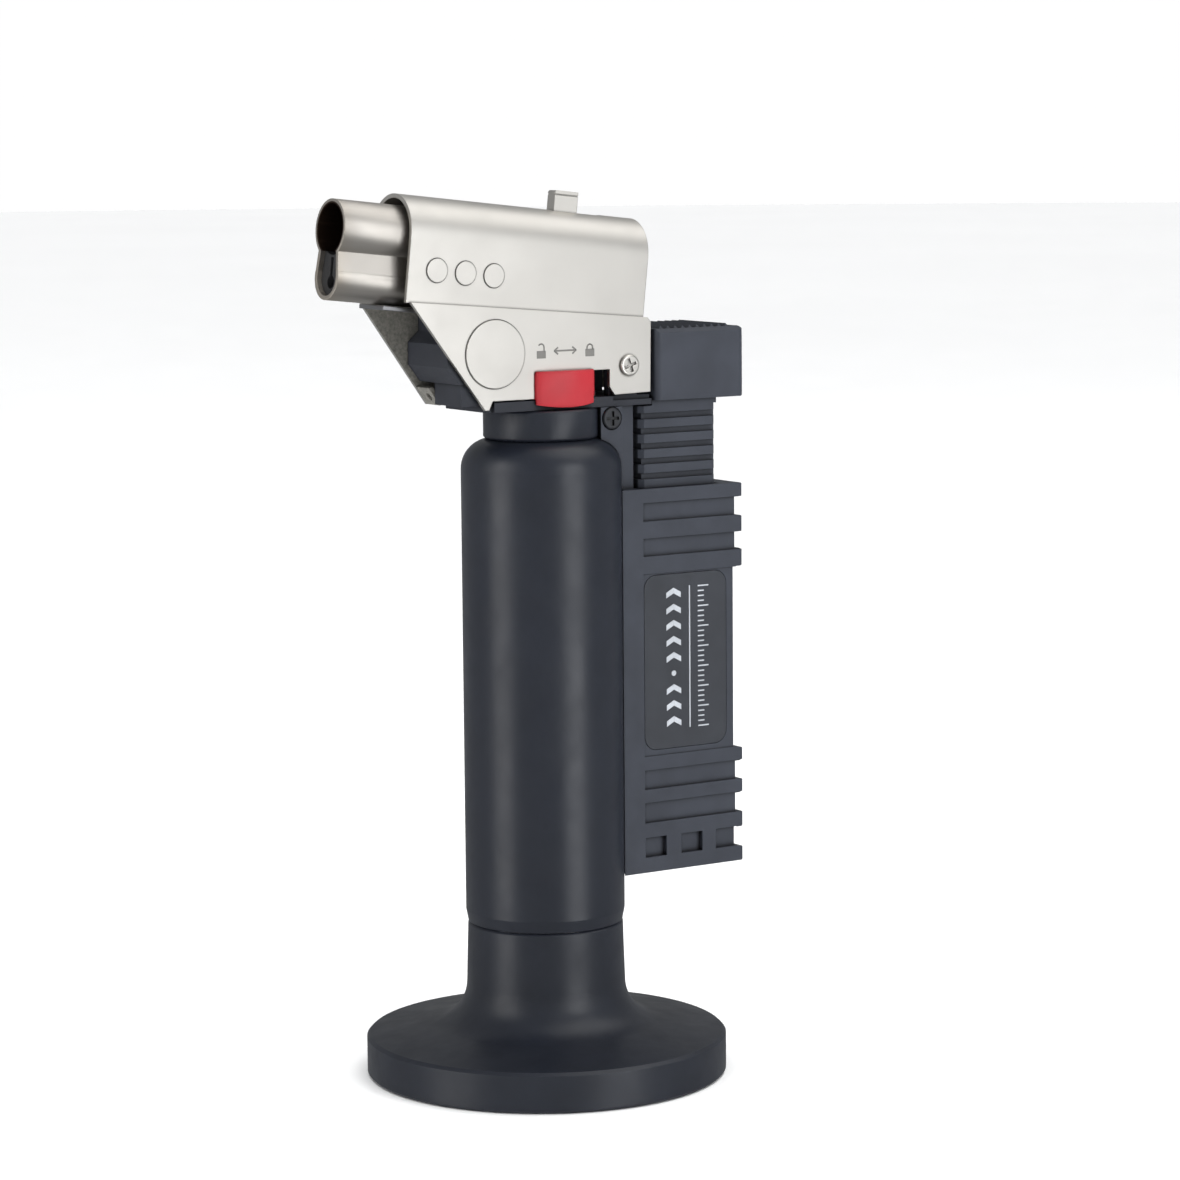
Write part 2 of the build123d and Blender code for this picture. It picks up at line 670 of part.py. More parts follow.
def chassis_holes():
    x, z = COVER_SCREW
    holes = both_sides(rod_y(1.0, -9, -4.9, x, z))
    x, z = BRACKET_SCREW
    holes += both_sides(rod_y(0.9, -9, -4.4, x, z))
    holes += rod_y(PIN_R + 0.02, -4, 4, *PIVOT)
    return holes + chassis_screw_holes(PLATE_BOTTOM - 1, PLATE_TOP + 1)


def chassis_screws():
    screw = phillips_screw(1.4, 1.0, SCREW_HOLE_R - 0.05, 4.6)
    return Part() + [Pos(x, y, PLATE_TOP) * screw for x, y in CHASSIS_SCREWS]


def lever_pin():
    return rod_y(PIN_R, -PIN_LENGTH / 2, PIN_LENGTH / 2, *PIVOT)


def valve_lever():
    """A rocker: its fork is under the stem's collar and its long arm is in the trigger's notch."""
    hub = rod_y(2.0, -LEVER_HALF, LEVER_HALF, 0, 0)
    web = box((-3.6, 0), (-LEVER_HALF, LEVER_HALF), (-1.2, 0))
    crossbar = box((-3.6, -2.9), (-2.7, 2.7), (-1.2, 0))
    prong = box((-FRONT_ARM, -2.9), (-2.7, -1.5), (-0.9, 0)) + rod_y(0.9, -2.7, -1.5, -FRONT_ARM, 0)
    front = Rot(0, -FRONT_ANGLE, 0) * (web + crossbar + both_sides(prong))
    arm = box((0, REAR_ARM - 3.4), (-LEVER_HALF, LEVER_HALF), (-1.0, 1.0))
    arm += box((REAR_ARM - 4, REAR_ARM), (-LEVER_HALF, LEVER_HALF), (-0.55, 0.55))
    tip = rod_y(1.0, -LEVER_HALF, LEVER_HALF, REAR_ARM, 0)
    rear = Rot(0, -REAR_ANGLE, 0) * (arm + tip)
    lever = hub + front + rear - rod_y(PIN_R + RUNNING_GAP, -4, 4, 0, 0)
    return Pos(PIVOT[0], 0, PIVOT[1]) * lever


def lock_slider():
    """A button with a bowed face, on a neck through the notch and a wider plate behind it."""
    x0, x1 = SLIDER_X
    middle = (x0 + x1) / 2
    outer = box((x0, x1), (-SLIDER_Y - 0.1, -CHEEK_Y - 0.25), SLIDER_Z)
    outer &= rod_z(SLIDER_BOW_R, SLIDER_Z[0] - 1, SLIDER_Z[1] + 1, middle, SLIDER_BOW_R - SLIDER_Y)
    outer = fillet(outer.edges().filter_by(Axis.Z).group_by(Axis.Y)[0], SLIDER_CORNER)
    outer &= rod_y(SLIDER_SAG_R, -12, -7, middle, SLIDER_Z[0] + SLIDER_SAG_R)
    neck = box((x0, x1), (-CHEEK_Y - 0.4, -7.3), (131.5, NOTCH_TOP - 0.2))
    keeper = box((x0 - 1.2, x1 + 1.2), (-7.35, -6.4), (131.6, NOTCH_TOP + 1.9))
    return outer + neck + keeper


# ---- trigger ----
def trigger_cap():
    bottom, top = CAP_Z
    front, rear = CAP_X
    foot = rear + CAP_REAR_LEAN
    block = side_slab(((front, bottom), (foot, bottom), (rear, top), (front, top)), -CAP_HALF, CAP_HALF)
    block = fillet(block.edges().filter_by(Axis.Y).sort_by(Axis.X)[-2:], CAP_ROUND)
    shoulder = (CAP_HALF, top - CAP_CHAMFER)
    edge = (CAP_HALF - CAP_CHAMFER, top)
    left = [(-y, z) for y, z in (edge, shoulder, (CAP_HALF, bottom))]
    block &= extrude(Plane.YZ * Polygon((CAP_HALF, bottom), shoulder, edge, *left), amount=foot + 1)
    plan = Pos((front + foot) / 2, 0, bottom) * RectangleRounded(foot - front, 2 * CAP_HALF, 1.2)
    block &= extrude(plan, amount=top - bottom)
    tip_z = PIVOT[1] + REAR_ARM * sin(radians(REAR_ANGLE))
    notch = box((20.0, 24.6), (-LEVER_HALF - 0.5, LEVER_HALF + 0.5), (bottom - 1, tip_z + 1.1))
    gap = 0.05
    socket = box(
        (PLUG_X[0] - gap, PLUG_X[1] + gap),
        (-PLUG_HALF - gap, PLUG_HALF + gap),
        (bottom - 1, PLUG_Z + gap),
    )
    grooves = Part()
    for i in range(CAP_GROOVES):
        x = 22.8 + CAP_GROOVE_PITCH * i
        grooves += box((x, x + 0.7), (-CAP_HALF + 1.1, CAP_HALF - 1.1), (top - 0.45, top + 1))
    return block - notch - socket - grooves


def trigger_stem():
    x0, x1 = RIB_STEM_X
    half = RIB_STEM_HALF
    bottom = CAP_Z[0]
    outer = box((x0, x1), (-half, half), (RIB_STEM_BOTTOM, bottom - 1.1))
    outer = chamfer(outer.edges().filter_by(Axis.Z), STEM_CHAMFER)
    top = box((CAP_X[0] + 0.2, x1), (-half, half), (bottom - 1.2, bottom))
    plug = box(PLUG_X, (-PLUG_HALF, PLUG_HALF), (bottom - 1, PLUG_Z))
    wall = 1.6
    hollow = box((x0 + wall, x1 - wall), (-half + wall, half - wall), (90, PUSH_Z))
    stem = outer + top + plug - hollow
    deep = STEM_GROOVE_DEPTH
    for i in range(STEM_GROOVES):
        middle = STEM_GROOVE_TOP - STEM_GROOVE_PITCH * i
        zone = (middle - STEM_GROOVE / 2, middle + STEM_GROOVE / 2)
        core = box((x0 + deep, x1 - STEM_REAR_DEPTH), (-half + deep, half - deep), zone)
        stem -= box((x0 - 1, x1 + 1), (-9, 9), zone) - core
    return stem


def piezo_plunger():
    return rod_z(PLUNGER_R, 88.0, PUSH_Z - SEAT_GAP, PLUNGER_X)


def trigger_spring():
    return ring_z(4.3, 3.3, PIEZO_TOP + SEAT_GAP, PUSH_Z - SEAT_GAP, PLUNGER_X)


def piezo_body():
    body = box(PIEZO_X, (-PIEZO_HALF, PIEZO_HALF), (PIEZO_BOTTOM, PIEZO_TOP))
    body = fillet(body.edges().filter_by(Axis.Z), 0.8)
    return body - rod_z(PLUNGER_R + RUNNING_GAP, PIEZO_BOTTOM + 4, PIEZO_TOP + 1, PLUNGER_X)


# ---- grip ----
def side_cut(x_zone, z_zone, depth):
    return box(x_zone, (-GRIP_HALF - 1, -GRIP_HALF + depth), z_zone)


def label_plate(grow, y0, y1):
    """The label's rounded outline, larger all round by the given amount, as thick as y0 to y1."""
    x, z = LABEL_CENTRE
    half_w, half_h = LABEL_SIZE[0] / 2 + grow, LABEL_SIZE[1] / 2 + grow
    plate = box((x - half_w, x + half_w), (y0, y1), (z - half_h, z + half_h))
    return fillet(plate.edges().filter_by(Axis.Y), LABEL_CORNER_R + grow)


def grip_shell():
    core = box((GRIP_FRONT, GRIP_REAR), (-GRIP_HALF, GRIP_HALF), (GRIP_BOTTOM, GRIP_TOP))
    core -= box((GRIP_REAR - 0.7, 50), (-10, 10), PANEL_Z)
    for zone in RIBS:
        rib = box((GRIP_REAR - 4, RIB_REAR), (-GRIP_HALF, GRIP_HALF), zone)
        core += fillet(rib.edges().group_by(Axis.X)[-1], 0.8)
    cuts = side_cut((PANEL_X, 50), PANEL_Z, 0.2)
    cuts += Part() + [side_cut((PANEL_X, 50), zone, GROOVE_DEPTH) for zone in SIDE_GROOVES]
    cuts += Part() + [side_cut(zone, SQUARE_Z, POCKET_DEPTH) for zone in SQUARE_POCKETS]
    cuts += label_plate(0.1, -GRIP_HALF - 1, -GRIP_HALF + LABEL_DEPTH + 0.02)
    return core - both_sides(cuts)


def grip_inside():
    """What is cut out of the grip: the piezo's room, the stem's well and the lead's channel."""
    x0, x1 = RIB_STEM_X
    half = RIB_STEM_HALF + 0.3
    well = box((x0 - 0.4, x1 + 0.4), (-half, half), (WELL_Z, GRIP_TOP + 1))
    room = box((17.3, 36.9), (-6.8, 6.8), (41.0, WELL_Z + 0.5))
    shelf_z = PIEZO_BOTTOM - 3.5
    shelf = box((17.2, 37.0), (-7.0, 7.0), (shelf_z, PIEZO_BOTTOM))
    guides = both_sides(box((22.0, 32.0), (-7.0, -PIEZO_HALF - 0.06), (shelf_z, 90.0)))
    channel_z = LEAD_Z - 2.0
    channel = rod_z(LEAD_R + 0.3, channel_z, GRIP_TOP + 1, LEAD_X, LEAD_Y)
    channel += box((15.7, 18.5), (LEAD_Y - LEAD_ROOM, LEAD_Y + LEAD_ROOM), (channel_z, WELL_Z + 1.5))
    bosses = Part() + [rod_y(2.4, -8, 8, x, z) for x, z in GRIP_SCREWS]
    return well + (room - shelf - guides - bosses) + channel


def bracket():
    """The near ear of the grip, which reaches up beside the tank's shoulder to the head.

    Its outer flange is joined to an inner wall that is set back behind it.
    """
    top = PLATE_BOTTOM - 0.1
    outline = ((13.1, 110.5), (13.1, top), (8.3, top), (8.3, 119.0), (12.6, 110.5))
    flange = side_slab(outline, -CHEEK_Y, -6.9)
    web = box((11.6, 13.1), (-7.0, -4.8), (111.0, 124.6)) + box((12.6, 13.1), (-7.0, -4.8), (124.0, top))
    wall = box((12.6, 17.2), (-6.0, -4.8), (111.0, top))
    ear = flange + web + wall
    ear -= rod_z(COLLAR_R + SHOULDER_GAP, 110, 135)
    ear -= tank_outline(SHOULDER_GAP)
    x, z = BRACKET_SCREW
    ear -= rod_y(1.0, -10, -6, x, z)
    return ear - rod_y(2.25, -10, -CHEEK_Y + 0.5, x, z)


def grip_whole():
    whole = grip_shell() - grip_inside()
    whole -= tank_outline(SHOULDER_GAP)
    for x, z in GRIP_SCREWS:
        whole -= rod_y(0.95, -5.5, 10, x, z)
        whole -= rod_y(1.9, GRIP_HALF - 1.6, 10, x, z)
    return whole + both_sides(bracket())


def grip_half(whole, side):
    """One half of the grip, on the near side (-1) or the far side (1)."""
    limits = sorted((side * 0.02, side * 12.0))
    return whole & box((0, 60), limits, (30, 140))


def grip_screws():
    screws = Part()
    for x, z in GRIP_SCREWS:
        screw = phillips_screw(1.7, 0.9, 0.9, 11.0)
        screws += Pos(x, GRIP_HALF - 1.6, z) * Rot(-90, 0, 0) * screw
    return screws


def bracket_screws():
    x, z = BRACKET_SCREW
    screw = Pos(x, -CHEEK_Y + 0.5, z) * Rot(90, 0, 0) * phillips_screw(2.1, 0.9, 0.85, 3.2)
    return both_sides(screw)


def label_plates():
    plate = label_plate(0.0, -GRIP_HALF + 0.15, -GRIP_HALF + LABEL_DEPTH)
    return both_sides(plate - side_cut(LABEL_LINE_X, LABEL_LINE_Z, 0.25))


NODES = (
    base_foot, tank_shell, tank_bottom_cap, tank_bottom_seal, tank_collar,
    fill_valve_body, fill_valve_seal, fill_valve_stem, fill_valve_spring,
    gas_valve_body, gas_valve_seal, gas_valve_gasket, gas_filter, valve_stem, valve_spring,
    gas_hose, injector, mixing_tube, flame_holder, nozzle_shroud, nozzle_support,
    electrode_insulator, electrode_pin, ignition_lead, air_shutter,
    barrel_casing, side_plate_left, side_plate_right, cover_screws,
    head_chassis, chassis_screws, bracket_screws, lever_pin, valve_lever, lock_slider,
    trigger_cap, trigger_stem, piezo_plunger, trigger_spring, piezo_body,
    grip_screws, label_plates,
)

os.makedirs("parts", exist_ok=True)
for make in NODES:
    export_step(make(), f"parts/{make.__name__}.step")
grip = grip_whole()
export_step(grip_half(grip, -1), "parts/grip_housing_left.step")
export_step(grip_half(grip, 1), "parts/grip_housing_right.step")
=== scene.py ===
import bpy
import bmesh
from math import cos, radians, sin, tau
from mathutils import Matrix, Vector


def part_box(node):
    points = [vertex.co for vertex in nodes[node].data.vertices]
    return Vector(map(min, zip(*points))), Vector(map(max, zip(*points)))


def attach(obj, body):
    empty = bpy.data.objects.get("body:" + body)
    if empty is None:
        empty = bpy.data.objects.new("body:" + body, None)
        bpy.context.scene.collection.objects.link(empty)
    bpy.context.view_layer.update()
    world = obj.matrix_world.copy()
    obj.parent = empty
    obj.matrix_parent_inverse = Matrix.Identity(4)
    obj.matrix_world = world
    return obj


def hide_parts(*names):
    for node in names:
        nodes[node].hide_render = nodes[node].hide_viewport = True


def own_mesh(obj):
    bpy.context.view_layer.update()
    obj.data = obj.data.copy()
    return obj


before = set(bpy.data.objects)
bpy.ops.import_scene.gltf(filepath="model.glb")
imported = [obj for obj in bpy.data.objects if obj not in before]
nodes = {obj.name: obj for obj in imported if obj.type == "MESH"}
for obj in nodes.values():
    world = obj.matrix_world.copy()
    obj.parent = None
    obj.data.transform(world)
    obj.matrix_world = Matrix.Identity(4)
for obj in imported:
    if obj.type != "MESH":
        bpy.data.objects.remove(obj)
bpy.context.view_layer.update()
MM = 0.001
MICRON = 0.000001

# ---- camera: azimuth 0 looks from -Y, and a negative azimuth from the nozzle's side ----
SENSOR = 36.0
LENS = 114.43
CAMERA_DISTANCE = 0.7159
CAMERA_HEIGHT = 0.1846
CAMERA_AZIMUTH = radians(-32.17)
CAMERA_TURN = radians(-0.734)
CAMERA_TILT = radians(7.217)
CAMERA_ROLL = radians(-0.476)
CLIP_START = 0.01
CLIP_END = 50

# ---- studio, in metres ----
WORLD_STRENGTH = 0.29
WORLD_COLOUR = (0.96, 0.98, 1.0)
LIGHT_AIM_HEIGHT = 0.09
# azimuth and elevation in degrees, distance, width, height, watts and colour
SOFTBOXES = {
    "right_box": (14, 5, 1.0, 0.50, 1.0, 4.6, (0.97, 0.985, 1.0)),
    "left_box": (-92, 8, 1.0, 0.52, 1.1, 4.0, (1.0, 0.99, 0.975)),
    "top_box": (66, 64, 1.1, 1.2, 0.9, 4.2, (1.0, 0.995, 0.985)),
}
FLOOR_RADIUS = 7.0
FLOOR_DROP = 0.0001
FLOOR_LIGHT = 2.55
FLOOR_LIGHT_SPREAD = radians(70)
BACKDROP_RADIUS = 9.0

# ---- the torch's own layout, in millimetres ----
BARREL_Z = 159.4
BARREL_TILT = radians(6.28)
NOZZLE_BORE = (4.92, 5.08)
HEAT_TINT_X = (-45.5, -42.5)
CHEEK_Y = 8.4
CHEEK_SHEET = 0.8
CHEEK_DISC = (-15.2, 140.4)
CHEEK_DISC_RADIUS = 6.4
CHEEK_MARKS_Z = 140.5
CASING_Y = 7.6
DIMPLE_PLACES = (26.6, 20.4, 14.2)
DIMPLE_DROP = 6.0
DIMPLE_RADIUS = 2.2
LABEL_FACE_Y = 8.65
LABEL_X = 27.4

# ---- ridges on the trigger's cap, in millimetres ----
RIDGE_COUNT = 10
RIDGE_FIRST_X = 21.8
RIDGE_PITCH = 1.7
RIDGE_WIDTH = 1.0
RIDGE_HALF_LENGTH = 8.35
RIDGE_END_SLOPE = 0.4
RIDGE_HEIGHT = 0.55
RIDGE_SUNK = 0.05

# ---- widths of the rounded edges on moulded and pressed parts, in millimetres ----
SOFT_EDGES = {
    "side_plate_left": 0.26,
    "side_plate_right": 0.26,
    "nozzle_shroud": 0.20,
    "nozzle_support": 0.15,
    "air_shutter": 0.18,
    "lock_slider": 0.30,
    "head_chassis": 0.18,
    "tank_collar": 0.12,
}

# ---- springs: CAD node, turns, wire in mm, joint, whether the top end stays, travel in mm ----
SPRINGS = {
    "trigger_coil": ("trigger_spring", 9.0, 0.9, "trigger_press", False, 6.0),
    "valve_coil": ("valve_spring", 6.0, 0.4, "trigger_press", True, 1.7),
    "refill_coil": ("fill_valve_spring", 5.0, 0.4, "refill_stem_push", True, 1.5),
}

# ---- colours ----
CHARCOAL = (0.0175, 0.0210, 0.0315)
GRIP_BLACK = (0.050, 0.056, 0.073)
CHASSIS_BLACK = (0.034, 0.037, 0.047)
LABEL_BLACK = (0.042, 0.046, 0.056)
SCREW_BLACK = (0.020, 0.022, 0.028)
RUBBER_BLACK = (0.02, 0.02, 0.021)
HOSE_BLACK = (0.045, 0.045, 0.047)
INSULATOR_BLACK = (0.030, 0.030, 0.032)
RED = (0.55, 0.030, 0.042)
IVORY = (0.62, 0.61, 0.56)
LEAD_CREAM = (0.60, 0.58, 0.54)
# Painted shadow: the dark grey of the fine lines round the pressed discs.
SHADOW_LINE_COLOUR = (0.16, 0.155, 0.145)
MARK_GREY = (0.23, 0.225, 0.21)
MARK_LIGHT = (0.62, 0.65, 0.70)
NICKEL = (0.73, 0.705, 0.662)
# Painted shade: a darker copy of nickel for the nozzle support strip, standing for the nozzle's shadow on it.
NICKEL_IN_PAINTED_SHADE = (0.36, 0.36, 0.375)
SCREW_NICKEL = (0.83, 0.80, 0.75)
NOZZLE_NICKEL = (0.63, 0.595, 0.55)
NOZZLE_STRAW = (0.58, 0.50, 0.40)
NOZZLE_SOOT = (0.055, 0.034, 0.024)
OXIDE_BROWNS = ((0.060, 0.036, 0.022), (0.17, 0.115, 0.08))
INNER_OXIDE = ((0.115, 0.112, 0.100), (0.260, 0.250, 0.222))
ALUMINIUM = (0.74, 0.75, 0.76)
BRASS = (0.78, 0.57, 0.26)
STEEL = (0.58, 0.575, 0.56)
FELT_TONES = ((0.50, 0.47, 0.42), (0.72, 0.69, 0.63))
FLOOR_TONES = ((0.93, 0.93, 0.93), (0.95, 0.95, 0.95))

# ---- finishes: grain, round_edge and the reach of the painted groove shade in mm, and depth in microns ----
MOULDED = {
    "stand_plastic": dict(colour=CHARCOAL, roughness=0.40, grain=0.22, depth=6, mottle=0.10, specular=0.50),
    "tank_paint": dict(colour=CHARCOAL, roughness=0.36, grain=0.18, depth=4, mottle=0.08, specular=0.50),
    "collar_plastic": dict(colour=CHARCOAL, roughness=0.40, grain=0.20, depth=5, specular=0.50),
    "grip_plastic": dict(
        colour=GRIP_BLACK, roughness=0.50, grain=0.24, depth=10, edge=1.9, specular=0.35, groove_shade_reach=1.1,
    ),
    "chassis_plastic": dict(
        colour=CHASSIS_BLACK, roughness=0.55, grain=0.3, depth=10, specular=0.30, groove_shade_reach=1.0,
    ),
    "plunger_plastic": dict(colour=IVORY, roughness=0.4, grain=0.3, depth=4, edge=1.1),
    "red_plastic": dict(
        colour=RED, roughness=0.36, grain=0.11, depth=30, edge=1.3, round_edge=0.7, direction=(1, 1, 0.02),
    ),
    "rubber": dict(colour=RUBBER_BLACK, roughness=0.7, grain=0.2, depth=8, edge=1.3),
    "hose": dict(colour=HOSE_BLACK, roughness=0.42, grain=0.4, depth=6, edge=1.3),
    "lead_insulation": dict(colour=LEAD_CREAM, roughness=0.45, grain=0.4, depth=4, edge=1.1),
    "label": dict(colour=LABEL_BLACK, roughness=0.38, grain=0.12, depth=2, edge=2.0),
    "screw_black": dict(
        colour=SCREW_BLACK, roughness=0.40, grain=0.2, depth=4, edge=3.0, specular=0.5, groove_shade_reach=0.9,
    ),
    "insulator": dict(colour=INSULATOR_BLACK, roughness=0.6, grain=0.16, depth=10, edge=1.6),
    # painted shadow lines round the pressed discs
    "painted_shadow_line": dict(colour=SHADOW_LINE_COLOUR, roughness=0.6, grain=0.2, depth=2, edge=1.0),
    "mark_grey": dict(colour=MARK_GREY, roughness=0.6, grain=0.2, depth=2, edge=1.0),
    "mark_light": dict(colour=MARK_LIGHT, roughness=0.55, grain=0.2, depth=2, edge=1.0),
}
METALS = {
    "nickel": dict(colour=NICKEL, roughness=0.42, groove_shade_reach=0.6),
    "plate_nickel": dict(colour=NICKEL, roughness=0.42, groove_shade_reach=0.6, dull_inside=True),
    # painted shade: the darker nickel of the strip in the nozzle's shadow
    "support_nickel_painted_shade": dict(colour=NICKEL_IN_PAINTED_SHADE, roughness=0.45),
    "screw_nickel": dict(colour=SCREW_NICKEL, roughness=0.30, groove_shade_reach=0.9),
    "cap_aluminium": dict(colour=ALUMINIUM, roughness=0.33, grain=0.2, depth=2.0, direction=(1, 1, 6)),
    "brass": dict(colour=BRASS, roughness=0.28, grain=0.2, depth=1.5, direction=(1, 1, 6)),
    "steel": dict(colour=STEEL, roughness=0.30, grain=0.2, depth=1.5),
}
OWN_FINISH = {
    "mixing_tube": "burner_steel",
    "flame_holder": "burner_steel",
    "electrode_pin": "burner_steel",
    "injector": "burner_steel",
    "side_plate_left": "plate_nickel",
    "side_plate_right": "plate_nickel",
    # painted shade: the support strip gets the darker nickel for the nozzle's shadow
    "nozzle_support": "support_nickel_painted_shade",
}


# ---- stage ----
def make_camera():
    data = bpy.data.cameras.new("camera")
    data.sensor_width = SENSOR
    data.lens = LENS
    data.clip_start = CLIP_START
    data.clip_end = CLIP_END
    camera = bpy.data.objects.new("camera", data)
    bpy.context.scene.collection.objects.link(camera)
    back = Vector((sin(CAMERA_AZIMUTH), -cos(CAMERA_AZIMUTH), 0))
    level = Matrix.Rotation(CAMERA_TURN, 3, "Z") @ -back
    up_axis = Vector((0, 0, 1))
    forward = level * cos(CAMERA_TILT) - up_axis * sin(CAMERA_TILT)
    right = level.cross(up_axis).normalized()
    up = right.cross(forward)
    rolled_right = right * cos(CAMERA_ROLL) + up * sin(CAMERA_ROLL)
    rolled_up = up * cos(CAMERA_ROLL) - right * sin(CAMERA_ROLL)
    turn = Matrix((rolled_right, rolled_up, -forward)).transposed().to_4x4()
    place = back * CAMERA_DISTANCE + up_axis * CAMERA_HEIGHT
    camera.matrix_world = Matrix.Translation(place) @ turn
    bpy.context.scene.camera = camera


def softbox(name, azimuth, elevation, distance, width, height, power, colour):
    """An area light that faces the torch's middle from an azimuth, measured as the camera's is."""
    data = bpy.data.lights.new(name, "AREA")
    data.shape = "RECTANGLE"
    data.size = width
    data.size_y = height
    data.energy = power
    data.color = colour
    light = bpy.data.objects.new(name, data)
    bpy.context.scene.collection.objects.link(light)
    a, e = radians(azimuth), radians(elevation)
    back = Vector((sin(a) * cos(e), -cos(a) * cos(e), sin(e)))
    light.rotation_mode = "QUATERNION"
    light.rotation_quaternion = (-back).to_track_quat("-Z", "Y")
    light.location = back * distance + Vector((0, 0, LIGHT_AIM_HEIGHT))
    light.visible_camera = False


def make_backdrop():
    """A white dome that only the camera sees, so that the studio's own light stays soft and low."""
    build = bmesh.new()
    bmesh.ops.create_uvsphere(build, u_segments=48, v_segments=24, radius=BACKDROP_RADIUS)
    dome = bpy.data.objects.new("backdrop", finished_mesh("backdrop", build))
    bpy.context.scene.collection.objects.link(dome)
    for ray in ("visible_diffuse", "visible_glossy", "visible_transmission", "visible_shadow"):
        setattr(dome, ray, False)
    made = Recipe("backdrop")
    made.set(Base_Color=(0, 0, 0, 1), Emission_Color=(1, 1, 1, 1), Emission_Strength=1.0, Roughness=1.0)
    dome.data.materials.append(made.material)


def make_floor():
    """A pale floor with a soft light of its own from straight above."""
    build = bmesh.new()
    bmesh.ops.create_circle(build, cap_ends=True, segments=96, radius=FLOOR_RADIUS)
    floor = bpy.data.objects.new("floor", finished_mesh("floor", build))
    bpy.context.scene.collection.objects.link(floor)
    floor.data.materials.append(floor_finish())
    floor.location.z = -FLOOR_DROP
    floor.visible_glossy = False
    lit = bpy.data.collections.new("floor_only")
    lit.objects.link(floor)
    data = bpy.data.lights.new("floor_light", "SUN")
    data.energy = FLOOR_LIGHT
    data.angle = FLOOR_LIGHT_SPREAD
    light = bpy.data.objects.new("floor_light", data)
    bpy.context.scene.collection.objects.link(light)
    light.light_linking.receiver_collection = lit


def make_world():
    world = bpy.data.worlds.new("studio")
    bpy.context.scene.world = world
    world.use_nodes = True
    shader = world.node_tree.nodes["Background"]
    shader.inputs["Color"].default_value = (*WORLD_COLOUR, 1)
    shader.inputs["Strength"].default_value = WORLD_STRENGTH


# ---- node materials ----
class Recipe:
    """A material with the few node chains that every finish here is made from, in metres."""

    def __init__(self, name):
        self.material = bpy.data.materials.new(name)
        self.material.use_nodes = True
        self.tree = self.material.node_tree
        self.shader = self.tree.nodes["Principled BSDF"]
        self.place = self.tree.nodes.new("ShaderNodeTexCoord").outputs["Object"]

    def node(self, kind, **settings):
        made = self.tree.nodes.new("ShaderNode" + kind)
        for name, value in settings.items():
            setattr(made, name, value)
        return made

    def wire(self, source, target):
        self.tree.links.new(source, target)

    def stretched(self, scale):
        mapping = self.node("Mapping")
        mapping.inputs["Scale"].default_value = scale
        self.wire(self.place, mapping.inputs["Vector"])
        return mapping.outputs["Vector"]

    def axis(self, letter):
        """The place along X, Y or Z."""
        split = self.node("SeparateXYZ")
        self.wire(self.place, split.inputs["Vector"])
        return split.outputs[letter]

    def noise(self, size, detail=3.0, roughness=0.5, vector=None):
        """Noise whose features are about size metres across."""
        made = self.node("TexNoise")
        made.inputs["Scale"].default_value = 1.0 / size
        made.inputs["Detail"].default_value = detail
        made.inputs["Roughness"].default_value = roughness
        self.wire(vector or self.place, made.inputs["Vector"])
        return made.outputs["Fac"]

    def spread(self, value, low, high, start=0.3, end=0.7):
        """A value between start and end, stretched to run from low to high."""
        made = self.node("MapRange")
        limits = (("From Min", start), ("From Max", end), ("To Min", low), ("To Max", high))
        for name, number in limits:
            made.inputs[name].default_value = number
        self.wire(value, made.inputs["Value"])
        return made.outputs["Result"]

    def multiply(self, first, second):
        made = self.node("Math", operation="MULTIPLY")
        self.wire(first, made.inputs[0])
        self.wire(second, made.inputs[1])
        return made.outputs["Value"]

    def blend(self, share, first, second):
        """A colour between two, where each is a colour or a socket."""
        made = self.node("Mix", data_type="RGBA")
        self.wire(share, made.inputs["Factor"])
        for socket, value in ((made.inputs[6], first), (made.inputs[7], second)):
            if isinstance(value, tuple):
                socket.default_value = (*value, 1)
            else:
                self.wire(value, socket)
        return made.outputs[2]

    def off_barrel_axis(self):
        """The distance from the barrel's axis."""
        offset = self.node("VectorMath", operation="SUBTRACT")
        self.wire(self.place, offset.inputs[0])
        offset.inputs[1].default_value = (0, 0, BARREL_Z * MM)
        across = self.node("VectorMath", operation="CROSS_PRODUCT")
        self.wire(offset.outputs["Vector"], across.inputs[0])
        across.inputs[1].default_value = (-cos(BARREL_TILT), 0, sin(BARREL_TILT))
        made = self.node("VectorMath", operation="LENGTH")
        self.wire(across.outputs["Vector"], made.inputs[0])
        return made.outputs["Value"]

    def outer_face(self):
        """1 on the outer skin of the two side plates, and 0 on their inner faces."""
        depth = self.node("Math", operation="ABSOLUTE")
        self.wire(self.axis("Y"), depth.inputs[0])
        inner = (CHEEK_Y - CHEEK_SHEET) * MM
        return self.spread(depth.outputs["Value"], 0.0, 1.0, inner + 0.01 * MM, inner + 0.12 * MM)

    def rounded_normal(self, radius):
        made = self.node("Bevel", samples=4)
        made.inputs["Radius"].default_value = radius
        return made.outputs["Normal"]

    def edge_share(self, rounded, amount):
        """How much of the edge colour shows: amount at a sharp edge, 0 on a flat."""
        geometry = self.node("NewGeometry")
        dot = self.node("VectorMath", operation="DOT_PRODUCT")
        self.wire(rounded, dot.inputs[0])
        self.wire(geometry.outputs["Normal"], dot.inputs[1])
        return self.spread(dot.outputs["Value"], amount, 0.0, 0.80, 0.97)

    def openness(self, reach):
        """0 deep in grooves and inner corners, and 1 on open faces: the mask for painted shade."""
        made = self.node("AmbientOcclusion", samples=8)
        made.inputs["Distance"].default_value = reach
        return self.spread(made.outputs["AO"], 0.0, 1.0, 0.40, 0.92)

    def bump(self, height, distance, normal=None):
        made = self.node("Bump")
        made.inputs["Strength"].default_value = 1.0
        made.inputs["Distance"].default_value = distance
        self.wire(height, made.inputs["Height"])
        if normal:
            self.wire(normal, made.inputs["Normal"])
        return made.outputs["Normal"]

    def set(self, **values):
        for name, value in values.items():
            self.shader.inputs[name.replace("_", " ")].default_value = value

    def feed(self, name, source):
        self.wire(source, self.shader.inputs[name])


def scaled(colour, factor):
    return tuple(channel * factor for channel in colour)


